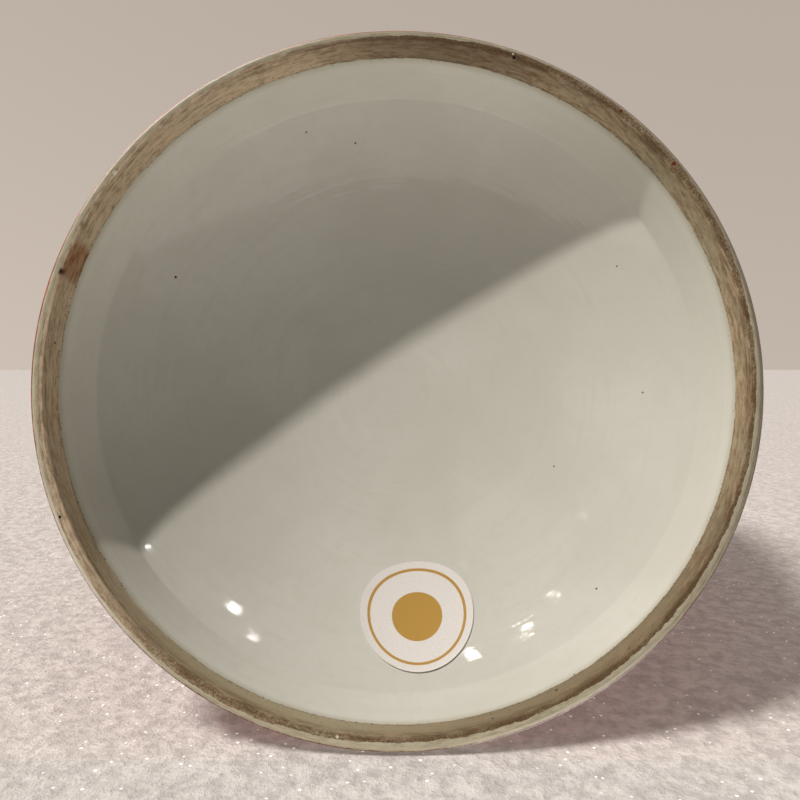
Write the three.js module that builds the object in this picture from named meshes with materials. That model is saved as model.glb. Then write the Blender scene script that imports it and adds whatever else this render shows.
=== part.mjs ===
// Pear-shaped porcelain vase with a flared mouth, a turned foot ring and a vaulted base.
// The vase stands on its foot at z = 0, with its axis on +Z. All sizes are in millimetres.
import * as THREE from "three";

// Foot ring, from the outside in
const FOOT_RADIUS = 59;
const FOOT_BEVEL_WIDTH = 1.1;
const FOOT_BEVEL_HEIGHT = 1.2;
const FOOT_FLAT_WIDTH = 1.4;
const FOOT_INNER_SLOPE_WIDTH = 0.6;
const FOOT_INNER_SLOPE_HEIGHT = 3.6;

// Vaulted base inside the ring
const RECESS_WALL_SLOPE_WIDTH = 3.3;
const RECESS_CORNER_HEIGHT = 11.9;
const VAULT_HEIGHT = 27.6;
const VAULT_CORNER_REACH = 12.4;
const VAULT_CORNER_ANGLE = 47;
const VAULT_CROWN_REACH = 27;
const BASE_THICKNESS = 6.5;

// Outline of the body, from the top of the foot to the mouth
const FOOT_SPLAY = 1.7;
const FOOT_TOP_HEIGHT = 11;
const FOOT_WALL_HOLLOW = 0.5;
const BODY_START_ANGLE = 16;
const BODY_START_REACH = 26;
const BELLY_RADIUS = 81;
const BELLY_HEIGHT = 98;
const BELLY_LOWER_REACH = 32;
const BELLY_UPPER_REACH = 46;
const NECK_RADIUS = 22.5;
const BELLY_TO_NECK = 132;
const NECK_LOWER_REACH = 80;
const NECK_UPPER_REACH = 27;
const MOUTH_RADIUS = 42;
const NECK_TO_RIM = 55;
const MOUTH_REACH = 14;
const MOUTH_ANGLE = 50;

// Walls
const LOWER_WALL = 5;
const BELLY_WALL = 4.6;
const NECK_WALL = 3.8;
const MOUTH_WALL = 3;

// Floor of the inside and the gutter round it
const FLOOR_CROWN_REACH = 30;
const GUTTER_INSET = 2.6;
const GUTTER_RISE = 12.6;
const GUTTER_REACH = 5;
const FLOOR_BLEND_HEIGHT = 38;
const FLOOR_BLEND_INSET = 3;

// Joints between the thrown sections
const NECK_JOINT_DROP = 40;
const SLIP_THICKNESS = 0.8;
const SLIP_BEAD = 0.9;

// Round paper label on the vault
const LABEL_RADIUS = 10.1;
const LABEL_THICKNESS = 0.25;
const LABEL_CLEARANCE = 0.3;
const LABEL_CORNER_DISTANCE = 11.2;
const LABEL_AZIMUTH = -49.8;

// Number of flats round the axis and along each stretch of the profile
const TURNING_STEPS = 60;
const VAULT_STEPS = 9;
const FOOT_WALL_STEPS = 4;
const LOWER_STEPS = 12;
const SHOULDER_STEPS = 16;
const MOUTH_STEPS = 10;
const LIP_OUTER_STEPS = 2;
const LIP_TOP_STEPS = 3;
const LIP_INNER_STEPS = 1;
const FLOOR_STEPS = 7;
const FLOOR_BLEND_STEPS = 3;

// Number of flats round the label and of rings across it, and rounds of the search for its middle
const LABEL_STEPS = 32;
const LABEL_RINGS = 4;
const SEARCH_ROUNDS = 40;

const radians = THREE.MathUtils.degToRad;
const point = (radius, height) => new THREE.Vector2(radius, height);

// Point that lies a distance from another, at an angle measured from straight up
function along(start, distance, angle) {
  return point(
    start.x + distance * Math.sin(radians(angle)),
    start.y + distance * Math.cos(radians(angle)),
  );
}

// Outline of the outside: foot to belly, belly to neck, neck to mouth
const footTop = point(FOOT_RADIUS - FOOT_SPLAY, FOOT_TOP_HEIGHT);
const belly = point(BELLY_RADIUS, BELLY_HEIGHT);
const neck = point(NECK_RADIUS, BELLY_HEIGHT + BELLY_TO_NECK);
const mouthRound = MOUTH_WALL / 2;
const mouthCentre = point(MOUTH_RADIUS - mouthRound, neck.y + NECK_TO_RIM - mouthRound);
const mouthOutside = along(mouthCentre, mouthRound, MOUTH_ANGLE + 90);

const lowerOutline = new THREE.CubicBezierCurve(
  footTop,
  along(footTop, BODY_START_REACH, BODY_START_ANGLE),
  along(belly, -BELLY_LOWER_REACH, 0),
  belly,
);
const shoulderOutline = new THREE.CubicBezierCurve(
  belly,
  along(belly, BELLY_UPPER_REACH, 0),
  along(neck, -NECK_LOWER_REACH, 0),
  neck,
);
const mouthOutline = new THREE.CubicBezierCurve(
  neck,
  along(neck, NECK_UPPER_REACH, 0),
  along(mouthOutside, -MOUTH_REACH, MOUTH_ANGLE),
  mouthOutside,
);

// Points of the inner wall: the outline moved inwards, square to itself, by a changing thickness
function innerWall(outline, steps, startWall, endWall) {
  const points = [];
  for (let i = 0; i <= steps; i++) {
    const share = i / steps;
    const tangent = outline.getTangent(share);
    const wall = THREE.MathUtils.lerp(startWall, endWall, share);
    const outer = outline.getPoint(share);
    points.push(point(outer.x - tangent.y * wall, outer.y + tangent.x * wall));
  }
  return points;
}

// Part of a rising row of points above a height, cut level there
function above(points, lowest) {
  return [atHeight(points, lowest), ...points.filter((p) => p.y > lowest)];
}

// Part of a rising row of points below a height, cut level there
function below(points, highest) {
  return [...points.filter((p) => p.y < highest), atHeight(points, highest)];
}

// Point of a rising row of points at a height, with the height itself kept exact
function atHeight(points, height) {
  const next = points.findIndex((p) => p.y >= height);
  const low = points[next - 1];
  const high = points[next];
  const share = (height - low.y) / (high.y - low.y);
  return point(THREE.MathUtils.lerp(low.x, high.x, share), height);
}

// Arc about a centre, with its ends, from one angle to another measured from the +radius side
function arc(centre, radius, from, to, steps) {
  const points = [];
  for (let i = 0; i <= steps; i++) {
    const angle = radians(THREE.MathUtils.lerp(from, to, i / steps));
    points.push(
      point(centre.x + radius * Math.cos(angle), centre.y + radius * Math.sin(angle)),
    );
  }
  return points;
}

// Profile that comes back to its first point
function closed(profile) {
  return [...profile, profile[0].clone()];
}

// Body of revolution about +Z from a profile of radius and height
function turned(name, profile, material) {
  const geometry = new THREE.LatheGeometry(profile, TURNING_STEPS);
  geometry.rotateX(Math.PI / 2);
  const mesh = new THREE.Mesh(geometry, material);
  mesh.name = name;
  return mesh;
}

const coralEnamel = new THREE.MeshStandardMaterial({ color: 0xa63c28, roughness: 0.3 });
const bareSlip = new THREE.MeshStandardMaterial({ color: 0x89694a, roughness: 0.8 });
const labelPaper = new THREE.MeshStandardMaterial({ color: 0xe6dfd6, roughness: 0.7 });

// Levels of the joint faces
const halfSlip = SLIP_THICKNESS / 2;
const bellyJointLow = BELLY_HEIGHT - halfSlip;
const bellyJointHigh = BELLY_HEIGHT + halfSlip;
const neckJointLow = neck.y - NECK_JOINT_DROP - halfSlip;
const neckJointHigh = neck.y - NECK_JOINT_DROP + halfSlip;

// Walls of the three outlines, as rising rows of points
const lowerOuter = lowerOutline.getPoints(LOWER_STEPS);
const lowerInner = innerWall(lowerOutline, LOWER_STEPS, LOWER_WALL, BELLY_WALL);
const shoulderOuter = shoulderOutline.getPoints(SHOULDER_STEPS);
const shoulderInner = innerWall(shoulderOutline, SHOULDER_STEPS, BELLY_WALL, NECK_WALL);
const mouthOuter = mouthOutline.getPoints(MOUTH_STEPS);
const mouthInner = innerWall(mouthOutline, MOUTH_STEPS, NECK_WALL, MOUTH_WALL);
const wholeOuter = [...lowerOuter, ...shoulderOuter.slice(1), ...mouthOuter.slice(1)];
const wholeInner = [...lowerInner, ...shoulderInner.slice(1), ...mouthInner.slice(1)];

// Foot ring and vault, from the crown of the vault out to the top of the foot
const flatOuterRadius = FOOT_RADIUS - FOOT_BEVEL_WIDTH;
const flatInnerRadius = flatOuterRadius - FOOT_FLAT_WIDTH;
const ringInnerEdge = point(flatInnerRadius - FOOT_INNER_SLOPE_WIDTH, FOOT_INNER_SLOPE_HEIGHT);
const recessCorner = point(ringInnerEdge.x - RECESS_WALL_SLOPE_WIDTH, RECESS_CORNER_HEIGHT);
const vaultCrown = point(0, VAULT_HEIGHT);
const vaultOutline = new THREE.CubicBezierCurve(
  vaultCrown,
  point(VAULT_CROWN_REACH, VAULT_HEIGHT),
  along(recessCorner, VAULT_CORNER_REACH, -VAULT_CORNER_ANGLE),
  recessCorner,
);
const footEdge = point(FOOT_RADIUS, FOOT_BEVEL_HEIGHT);
const footWall = new THREE.QuadraticBezierCurve(
  footEdge,
  point(footTop.x - FOOT_WALL_HOLLOW, (footEdge.y + footTop.y) / 2),
  footTop,
);

// Floor of the inside: over the vault, down into a round gutter, and up into the wall
const crownInside = point(0, VAULT_HEIGHT + BASE_THICKNESS);
const gutter = point(recessCorner.x - GUTTER_INSET, recessCorner.y + GUTTER_RISE);
const floorOutline = new THREE.CubicBezierCurve(
  crownInside,
  point(FLOOR_CROWN_REACH, crownInside.y),
  point(gutter.x - GUTTER_REACH, gutter.y),
  gutter,
);
const wallFoot = atHeight(wholeInner, FLOOR_BLEND_HEIGHT);
const floorBlend = new THREE.QuadraticBezierCurve(
  gutter,
  point(wallFoot.x - FLOOR_BLEND_INSET, gutter.y),
  wallFoot,
);

// Lower half, with the foot ring and the vaulted base
const lowerWallInside = above(below(wholeInner, bellyJointLow), FLOOR_BLEND_HEIGHT);
const lowerBody = turned(
  "lower_body",
  [
    ...vaultOutline.getPoints(VAULT_STEPS),
    ringInnerEdge,
    point(flatInnerRadius, 0),
    point(flatOuterRadius, 0),
    ...footWall.getPoints(FOOT_WALL_STEPS).slice(0, -1),
    ...below(wholeOuter, bellyJointLow),
    ...lowerWallInside.reverse(),
    ...floorBlend.getPoints(FLOOR_BLEND_STEPS).slice(1, -1).reverse(),
    ...floorOutline.getPoints(FLOOR_STEPS).reverse(),
  ],
  coralEnamel,
);

// Upper half, the shoulder
const upperBody = turned(
  "upper_body",
  closed([
    ...above(below(wholeOuter, neckJointLow), bellyJointHigh),
    ...above(below(wholeInner, neckJointLow), bellyJointHigh).reverse(),
  ]),
  coralEnamel,
);

// Neck with the flared mouth and its rounded rim
const rim = [
  ...arc(mouthCentre, mouthRound, -MOUTH_ANGLE, 0, LIP_OUTER_STEPS),
  ...arc(mouthCentre, mouthRound, 0, 90, LIP_TOP_STEPS).slice(1),
  ...arc(mouthCentre, mouthRound, 90, 180 - MOUTH_ANGLE, LIP_INNER_STEPS).slice(1),
];
const neckAndMouth = turned(
  "neck_and_mouth",
  closed([
    ...above(wholeOuter, neckJointHigh).slice(0, -1),
    ...rim,
    ...above(wholeInner, neckJointHigh).slice(0, -1).reverse(),
  ]),
  coralEnamel,
);

// Ring of slip between two sections, level with the outside and standing a little proud inside
function lutingSlip(name, lowFace, highFace) {
  const outerLow = atHeight(wholeOuter, lowFace);
  const outerHigh = atHeight(wholeOuter, highFace);
  const innerLow = atHeight(wholeInner, lowFace);
  const innerHigh = atHeight(wholeInner, highFace);
  const bead = point(
    Math.min(innerLow.x, innerHigh.x) - SLIP_BEAD,
    (lowFace + highFace) / 2,
  );
  return turned(name, closed([outerLow, outerHigh, innerHigh, bead, innerLow]), bareSlip);
}

// Point on the vault by its arc length from the crown and its distance sideways from the
// label's azimuth, raised off the surface
function onVault(arcLength, sideways, raised) {
  const share = arcLength / vaultOutline.getLength();
  const surface = vaultOutline.getPointAt(share);
  const tangent = vaultOutline.getTangentAt(share);
  const azimuth = radians(LABEL_AZIMUTH) + sideways / surface.x;
  const radius = surface.x + tangent.y * raised;
  const height = surface.y - tangent.x * raised;
  return new THREE.Vector3(radius * Math.cos(azimuth), radius * Math.sin(azimuth), height);
}

// Arc length along the vault from its crown to a radius
function vaultLengthTo(radius) {
  let low = 0;
  let high = 1;
  for (let i = 0; i < SEARCH_ROUNDS; i++) {
    const middle = (low + high) / 2;
    if (vaultOutline.getPointAt(middle).x < radius) low = middle;
    else high = middle;
  }
  return low * vaultOutline.getLength();
}

// One face of the label, bent to the vault: its middle, then its rings from the inside out
function labelFace(raised) {
  const middle = vaultLengthTo(recessCorner.x - LABEL_CORNER_DISTANCE);
  const points = [onVault(middle, 0, raised)];
  for (let ring = 1; ring <= LABEL_RINGS; ring++) {
    for (let step = 0; step < LABEL_STEPS; step++) {
      const angle = (step / LABEL_STEPS) * 2 * Math.PI;
      const outward = (LABEL_RADIUS * ring * Math.cos(angle)) / LABEL_RINGS;
      const sideways = (LABEL_RADIUS * ring * Math.sin(angle)) / LABEL_RINGS;
      points.push(onVault(middle + outward, sideways, raised));
    }
  }
  return points;
}

// Paper label: two faces a paper's thickness apart, joined round the edge
function paperLabel() {
  const upper = labelFace(LABEL_CLEARANCE);
  const lower = labelFace(LABEL_CLEARANCE + LABEL_THICKNESS);
  const back = upper.length;
  const index = [];
  const at = (ring, step) => 1 + (ring - 1) * LABEL_STEPS + (step % LABEL_STEPS);
  for (let step = 0; step < LABEL_STEPS; step++) {
    index.push(0, at(1, step), at(1, step + 1));
    index.push(back, back + at(1, step + 1), back + at(1, step));
    for (let ring = 1; ring < LABEL_RINGS; ring++) {
      const [a, b] = [at(ring, step), at(ring, step + 1)];
      const [c, d] = [at(ring + 1, step), at(ring + 1, step + 1)];
      index.push(a, c, d, a, d, b);
      index.push(back + a, back + d, back + c, back + a, back + b, back + d);
    }
    const [edge, next] = [at(LABEL_RINGS, step), at(LABEL_RINGS, step + 1)];
    index.push(edge, back + edge, back + next, edge, back + next, next);
  }
  const geometry = new THREE.BufferGeometry();
  geometry.setFromPoints([...upper, ...lower]);
  geometry.setIndex(index);
  geometry.computeVertexNormals();
  const mesh = new THREE.Mesh(geometry, labelPaper);
  mesh.name = "paper_label";
  return mesh;
}

const vase = new THREE.Group();
vase.add(lowerBody, upperBody, neckAndMouth);
vase.add(lutingSlip("belly_luting_slip", bellyJointLow, bellyJointHigh));
vase.add(lutingSlip("neck_luting_slip", neckJointLow, neckJointHigh));
vase.add(paperLabel());

export default vase;
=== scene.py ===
import math

import bpy
import numpy as np
from mathutils import Matrix, Vector
from mathutils.bvhtree import BVHTree


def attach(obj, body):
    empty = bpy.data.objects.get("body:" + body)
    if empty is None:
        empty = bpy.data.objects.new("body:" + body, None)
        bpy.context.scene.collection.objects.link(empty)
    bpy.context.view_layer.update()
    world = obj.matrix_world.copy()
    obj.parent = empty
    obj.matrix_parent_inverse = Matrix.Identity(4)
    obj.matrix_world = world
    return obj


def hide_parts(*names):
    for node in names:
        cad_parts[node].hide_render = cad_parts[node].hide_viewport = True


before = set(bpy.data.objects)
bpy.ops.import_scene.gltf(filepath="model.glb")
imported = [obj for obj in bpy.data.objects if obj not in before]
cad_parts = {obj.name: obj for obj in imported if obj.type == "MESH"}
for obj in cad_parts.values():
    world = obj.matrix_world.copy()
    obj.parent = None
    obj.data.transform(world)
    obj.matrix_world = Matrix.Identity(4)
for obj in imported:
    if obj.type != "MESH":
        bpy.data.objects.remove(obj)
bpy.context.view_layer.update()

# Foot ring: the turned edge that the vase stands on, left bare of glaze and worn by use.
# The glaze stops in a wavy line on its outer bevel and a little way up its inner side, and
# the coral enamel of the outside is brushed just over the outer edge.
MM = 0.001
FOOT_RADIUS = 59.0
BEVEL_WIDTH = 1.1
BEVEL_HEIGHT = 1.2
FLAT_WIDTH = 1.4
INNER_SLOPE_WIDTH = 0.6
INNER_SLOPE_HEIGHT = 3.6
RECESS_WALL_SLOPE = 3.3
RECESS_CORNER_HEIGHT = 11.9
FOOT_TOP = (57.3, 11.0)
FOOT_WALL_HOLLOW = 0.5
FOOT_WALL_STEPS = 24
RING_INNER_SEAM = 6.5
RING_SEAM_STEP = 7
RING_TURNS = 1200
RING_SPACING = 0.2
WORN_EDGE = 0.22
WORN_STEPS = 6
SHARP_ANGLE = 50

FLAT_OUTER = FOOT_RADIUS - BEVEL_WIDTH
FLAT_INNER = FLAT_OUTER - FLAT_WIDTH
INNER_EDGE = (FLAT_INNER - INNER_SLOPE_WIDTH, INNER_SLOPE_HEIGHT)
RECESS_CORNER = (INNER_EDGE[0] - RECESS_WALL_SLOPE, RECESS_CORNER_HEIGHT)


def bezier(corners, steps):
    """Row of (radius, height): the Bernstein sum of the corners at even shares from 0 to 1."""
    share = np.linspace(0, 1, steps + 1)[:, None]
    last = len(corners) - 1
    weights = [math.comb(last, i) * share**i * (1 - share) ** (last - i) for i in range(last + 1)]
    return sum(weight * np.array(corner, float) for weight, corner in zip(weights, corners))


def straight(start, end, steps):
    """Row of points at even shares of the line from start to end."""
    return bezier([start, end], steps)


def level_point(row, height):
    """Point of a rising row at a height: the radius is interpolated between its two neighbours."""
    return np.array([np.interp(height, row[:, 1], row[:, 0]), height])


def softened(corners, reach, steps):
    """Row through the corners: each inner corner is cut off by reach on both sides and replaced
    by the quadratic Bezier curve that has the corner as its middle control point."""
    corners = [np.array(c, float) for c in corners]
    row = [corners[0][None]]
    for before, corner, after in zip(corners, corners[1:], corners[2:]):
        back = corner + (before - corner) * reach / np.linalg.norm(before - corner)
        ahead = corner + (after - corner) * reach / np.linalg.norm(after - corner)
        row.append(bezier([back, corner, ahead], steps))
    row.append(corners[-1][None])
    return np.concatenate(row)


def refined(row, spacing):
    """The same row with more points: even steps of arc length no longer than spacing."""
    length = np.r_[0, np.cumsum(np.linalg.norm(np.diff(row, axis=0), axis=1))]
    even = np.linspace(0, length[-1], int(math.ceil(length[-1] / spacing)) + 1)
    return np.c_[np.interp(even, length, row[:, 0]), np.interp(even, length, row[:, 1])]


def hand_turned(points):
    """The wheel's and the hand's small faults: every point moves inwards along its radius by
    0.03 mm times 1 + sin(z / 2.1 + 3 sin(z / 17)) and 0.08 mm times 1 + cos(2 a + z / 90), with a
    its angle round the axis. That grows from nothing at the foot to the whole 20 mm up."""
    x, y, z = points.T
    around = np.arctan2(y, x)
    inward = 0.03 * (1 + np.sin(z / 2.1 + 3 * np.sin(z / 17)))
    inward = inward + 0.08 * (1 + np.cos(2 * around + z / 90))
    radius = np.hypot(x, y)
    moved = radius - inward * np.clip(z / 20, 0, 1)
    share = np.where(radius > 1, moved / np.maximum(radius, 1), 1)
    return np.c_[x * share, y * share, z]


def turned(name, section, turns, attributes=None):
    """Closed body of revolution. Point (k, j) is (r cos a, r sin a, z) with (r, z) the section's
    k-th point and a = 2 pi j / turns. The section starts and ends on the axis, or comes back to
    its start, and runs outwards below, up outside and down inside, so that faces look outwards."""
    section = np.asarray(section, float)
    on_axis = section[0, 0] == 0
    rings = section[1:-1] if on_axis else section
    angle = 2 * np.pi * np.arange(turns) / turns
    radius, height = rings[:, :1], rings[:, 1:]
    x, y = radius * np.cos(angle), radius * np.sin(angle)
    points = np.stack([x, y, np.broadcast_to(height, x.shape)], axis=-1).reshape(-1, 3)
    grid = np.arange(len(points)).reshape(len(rings), turns)
    if not on_axis:
        grid = np.concatenate([grid, grid[:1]])
    near, far = grid[:-1], grid[1:]
    faces = np.stack([near, np.roll(near, -1, 1), np.roll(far, -1, 1), far], -1).reshape(-1, 4).tolist()
    if on_axis:
        first, last = len(points), len(points) + 1
        points = np.r_[points, [[0, 0, section[0, 1]], [0, 0, section[-1, 1]]]]
        faces += [[first, b, a] for a, b in zip(grid[0], np.roll(grid[0], -1))]
        faces += [[a, b, last] for a, b in zip(grid[-1], np.roll(grid[-1], -1))]
    piece = surface(name, hand_turned(points), faces)
    for label, values in (attributes or {}).items():
        values = np.asarray(values, np.float32)
        spread = np.repeat(values[1:-1] if on_axis else values, turns)
        if on_axis:
            spread = np.r_[spread, values[0], values[-1]]
        piece.data.attributes.new(label, "FLOAT", "POINT").data.foreach_set("value", spread)
    return piece


def surface(name, points, faces):
    """Mesh object of points in millimetres, smooth but for edges sharper than SHARP_ANGLE. It
    stays at the origin, and its mesh has its place."""
    mesh = bpy.data.meshes.new(name)
    mesh.from_pydata((np.asarray(points) * MM).tolist(), [], faces)
    mesh.polygons.foreach_set("use_smooth", [True] * len(mesh.polygons))
    mesh.set_sharp_from_angle(angle=math.radians(SHARP_ANGLE))
    mesh.update()
    piece = bpy.data.objects.new(name, mesh)
    bpy.context.scene.collection.objects.link(piece)
    return piece


def seen(red, green, blue):
    """Linear colour of an sRGB colour from 0 to 255."""
    parts = [c / 255 for c in (red, green, blue)]
    return [c / 12.92 if c <= 0.04045 else ((c + 0.055) / 1.055) ** 2.4 for c in parts] + [1]


def add(tree, kind, *values, **settings):
    """New node with its settings made. The values go to its inputs in order: a socket is linked,
    None is passed over, and any other value is set."""
    node = tree.nodes.new(kind)
    for name, value in settings.items():
        setattr(node, name, value)
    for socket, value in zip(node.inputs, values):
        if isinstance(value, bpy.types.NodeSocket):
            tree.links.new(value, socket)
        elif value is not None:
            socket.default_value = value
    return node


def maths(tree, operation, *values):
    """Output of a Math node."""
    return add(tree, "ShaderNodeMath", *values, operation=operation).outputs[0]


def times(tree, a, b):
    """Product of two values."""
    return maths(tree, "MULTIPLY", a, b)


def vectors(tree, operation, *values):
    """Outputs of a Vector Math node: a vector, and a value for a product or a length."""
    return add(tree, "ShaderNodeVectorMath", *values, operation=operation).outputs


def step_between(tree, value, low, high, start=0.0, end=1.0):
    """Smooth step of a value: start at low and below it, end at high and above it."""
    node = add(tree, "ShaderNodeMapRange", value, low, high, start, end,
               interpolation_type="SMOOTHSTEP")
    return node.outputs[0]


def noise(tree, vector, scale, detail=2.0, roughness=0.5, w=None):
    """Noise from 0 to 1 of a vector, in four dimensions where w is given."""
    node = add(tree, "ShaderNodeTexNoise", vector, w, scale, detail, roughness,
               noise_dimensions="3D" if w is None else "4D")
    return node.outputs[0]


def blend(tree, factor, a, b):
    """Colour a where the factor is 0 and b where it is 1."""
    no_values = [None] * 5
    node = add(tree, "ShaderNodeMix", factor, *no_values, a, b, data_type="RGBA")
    return node.outputs[2]


def between_two(tree, factor, a, b):
    """Value a where the factor is 0 and b where it is 1."""
    return add(tree, "ShaderNodeMix", factor, None, a, b).outputs[0]


def group(name, inputs, outputs):
    """New shader node group: its tree, its inputs by name and a function that sets its outputs."""
    tree = bpy.data.node_groups.new(name, "ShaderNodeTree")
    for label, kind in inputs.items():
        tree.interface.new_socket(label, in_out="INPUT", socket_type="NodeSocket" + kind)
    for label, kind in outputs.items():
        tree.interface.new_socket(label, in_out="OUTPUT", socket_type="NodeSocket" + kind)
    source = tree.nodes.new("NodeGroupInput").outputs
    end = tree.nodes.new("NodeGroupOutput").inputs

    def put_out(**values):
        for label, value in values.items():
            tree.links.new(value, end[label])

    return tree, source, put_out


def use(tree, shared, **values):
    """Node of a shared group, with its inputs linked or set by name. Returns its outputs."""
    node = tree.nodes.new("ShaderNodeGroup")
    node.node_tree = shared
    for label, value in values.items():
        if isinstance(value, bpy.types.NodeSocket):
            tree.links.new(value, node.inputs[label])
        else:
            node.inputs[label].default_value = value
    return node.outputs


def new_material(name):
    """New node material, its tree and its Principled shader."""
    material = bpy.data.materials.new(name)
    material.use_nodes = True
    return material, material.node_tree, material.node_tree.nodes["Principled BSDF"]


def raise_surface(tree, shader, height):
    """Bump of a height in millimetres."""
    bump = add(tree, "ShaderNodeBump")
    bump.inputs["Distance"].default_value = MM
    tree.links.new(height, bump.inputs["Height"])
    tree.links.new(bump.outputs[0], shader.inputs["Normal"])


def turning(tree, stretch):
    """Place on the body in millimetres, its distance from the axis, its height, and a vector for
    patterns that run round the axis, on which stretch millimetres along the turning count as
    one: (x / stretch, y / stretch, distance)."""
    place = add(tree, "ShaderNodeVectorMath", add(tree, "ShaderNodeTexCoord").outputs["Object"],
                operation="SCALE")
    place.inputs["Scale"].default_value = 1 / MM
    x, y, height = add(tree, "ShaderNodeSeparateXYZ", place.outputs[0]).outputs
    off_axis = maths(tree, "SQRT", maths(tree, "ADD", times(tree, x, x), times(tree, y, y)))
    slow = [maths(tree, "DIVIDE", part, stretch) for part in (x, y)]
    around = add(tree, "ShaderNodeCombineXYZ", *slow, off_axis)
    return {"Place": place.outputs[0], "Radius": off_axis, "Height": height, "Round": around.outputs[0]}


# White glaze: an off-white, slightly green gloss over porcelain, a little uneven in tone, with
# soft waves and an orange-peel skin that break up what it mirrors.
GLAZE_DARK, GLAZE_PALE, GLAZE_GREENISH = seen(212, 209, 197), seen(220, 217, 206), seen(205, 204, 189)
white_glaze, given, put_out = group(
    "white_glaze", {"Place": "Vector"}, {"Color": "Color", "Height": "Float", "Roughness": "Float"}
)
cloud = noise(white_glaze, given["Place"], 0.03, 3.0, 0.55)
tint = noise(white_glaze, given["Place"], 0.5, 4.0, 0.6)
tone = blend(white_glaze, step_between(white_glaze, cloud, 0.35, 0.65),
             GLAZE_DARK, GLAZE_PALE)
tone = blend(white_glaze, step_between(white_glaze, tint, 0.45, 0.8, 0.0, 0.35),
             tone, GLAZE_GREENISH)
waves = times(white_glaze, noise(white_glaze, given["Place"], 0.11, 1.0, 0.4), 0.16)
peel = times(white_glaze, noise(white_glaze, given["Place"], 0.9, 2.0, 0.5), 0.006)
gloss = step_between(white_glaze, tint, 0.3, 0.7, 0.04, 0.07)
put_out(Color=tone, Height=maths(white_glaze, "ADD", waves, peel), Roughness=gloss)

# Coral enamel: iron red brushed and stippled over the fired white glaze, paler where it is
# thin, with tiny pinholes where the white shows.
ENAMEL_DARK, ENAMEL_PALE = seen(164, 57, 38), seen(181, 70, 46)
ENAMEL_THIN, ENAMEL_THICK, ENAMEL_BRUSHED = seen(200, 92, 62), seen(142, 44, 30), seen(192, 84, 58)
GLAZE_IN_HOLE = seen(214, 190, 168)
coral_enamel, given, put_out = group(
    "coral_enamel", {"Place": "Vector", "Round": "Vector", "Height": "Float"},
    {"Color": "Color", "Height": "Float", "Roughness": "Float"}
)
stipple = noise(coral_enamel, given["Place"], 0.75, 5.0, 0.65)
patches = noise(coral_enamel, given["Place"], 0.028, 3.0, 0.55)
brushing = noise(coral_enamel, given["Round"], 0.9, 3.0, 0.5, w=given["Height"])
red = blend(coral_enamel, step_between(coral_enamel, patches, 0.3, 0.7), ENAMEL_DARK, ENAMEL_PALE)
for texture, low, high, share, tint in ((stipple, 0.42, 0.72, 0.5, ENAMEL_THIN),
                                        (stipple, 0.5, 0.25, 0.55, ENAMEL_THICK),
                                        (brushing, 0.5, 0.8, 0.35, ENAMEL_BRUSHED)):
    red = blend(coral_enamel, step_between(coral_enamel, texture, low, high, 0.0, share), red, tint)
holes = add(coral_enamel, "ShaderNodeTexVoronoi", given["Place"], None, 0.32)
hole = step_between(coral_enamel, holes.outputs["Distance"], 0.05, 0.025)
red = blend(coral_enamel, hole, red, GLAZE_IN_HOLE)
grain = times(coral_enamel, stipple, 0.012)
waves = times(coral_enamel, noise(coral_enamel, given["Place"], 0.1, 1.0, 0.4), 0.12)
height = maths(coral_enamel, "SUBTRACT", maths(coral_enamel, "ADD", grain, waves),
               times(coral_enamel, hole, 0.03))
put_out(Color=red, Height=height, Roughness=step_between(coral_enamel, stipple, 0.3, 0.7, 0.2, 0.32))

# One soft-edged round spot, as a mask: 1 within Size of its centre and 0 past Size and Edge.
spot_mask, given, put_out = group(
    "spot_mask", {"Place": "Vector", "Centre": "Vector", "Size": "Float", "Edge": "Float"},
    {"Mask": "Float"}
)
away = vectors(spot_mask, "DISTANCE", given["Place"], given["Centre"])["Value"]
end = maths(spot_mask, "ADD", given["Size"], given["Edge"])
put_out(Mask=step_between(spot_mask, away, end, given["Size"]))


def spots(tree, place, centres, edge):
    """Greatest of the masks of several spots, each given as (x, y, z, size)."""
    total = None
    for x, y, z, size in centres:
        mask = use(tree, spot_mask, Place=place, Centre=(x, y, z), Size=size, Edge=edge)["Mask"]
        total = mask if total is None else maths(tree, "MAXIMUM", total, mask)
    return total


# One streak along the turning, as a mask: an oval about its centre, Length long round the axis
# and Width wide across it, with a soft edge.
streak_mask, given, put_out = group(
    "streak_mask", {"Place": "Vector", "Centre": "Vector", "Length": "Float", "Width": "Float"},
    {"Mask": "Float"}
)
out_way = vectors(streak_mask, "MULTIPLY", given["Centre"], (1, 1, 0))[0]
out_way = vectors(streak_mask, "NORMALIZE", out_way)[0]
turn_way = vectors(streak_mask, "CROSS_PRODUCT", (0, 0, 1), out_way)[0]
offset = vectors(streak_mask, "SUBTRACT", given["Place"], given["Centre"])[0]
squares = []
for way, size in ((out_way, given["Width"]), (turn_way, given["Length"])):
    part = vectors(streak_mask, "DOT_PRODUCT", offset, way)["Value"]
    share = maths(streak_mask, "DIVIDE", part, times(streak_mask, size, 0.5))
    squares.append(times(streak_mask, share, share))
put_out(Mask=step_between(streak_mask, maths(streak_mask, "ADD", *squares), 1.0, 0.35))


def way_out(degrees):
    """Level unit vector from the axis, at an angle from +X."""
    return (math.cos(math.radians(degrees)), math.sin(math.radians(degrees)), 0)


def on_foot(radius, degrees, height, size):
    """Spot at a radius and height, at an angle from +X."""
    x, y, _ = way_out(degrees)
    return (radius * x, radius * y, height, size)


def side_of_foot(tree, place, degrees, begins, full, share=1.0):
    """Mask of one side of the foot: 0 where a place lies begins of the foot's radius towards an
    angle from +X, rising to share where it lies full of the radius."""
    towards = vectors(tree, "DOT_PRODUCT", place, way_out(degrees))["Value"]
    return step_between(tree, towards, begins * FOOT_RADIUS, full * FOOT_RADIUS, 0.0, share)


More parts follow.
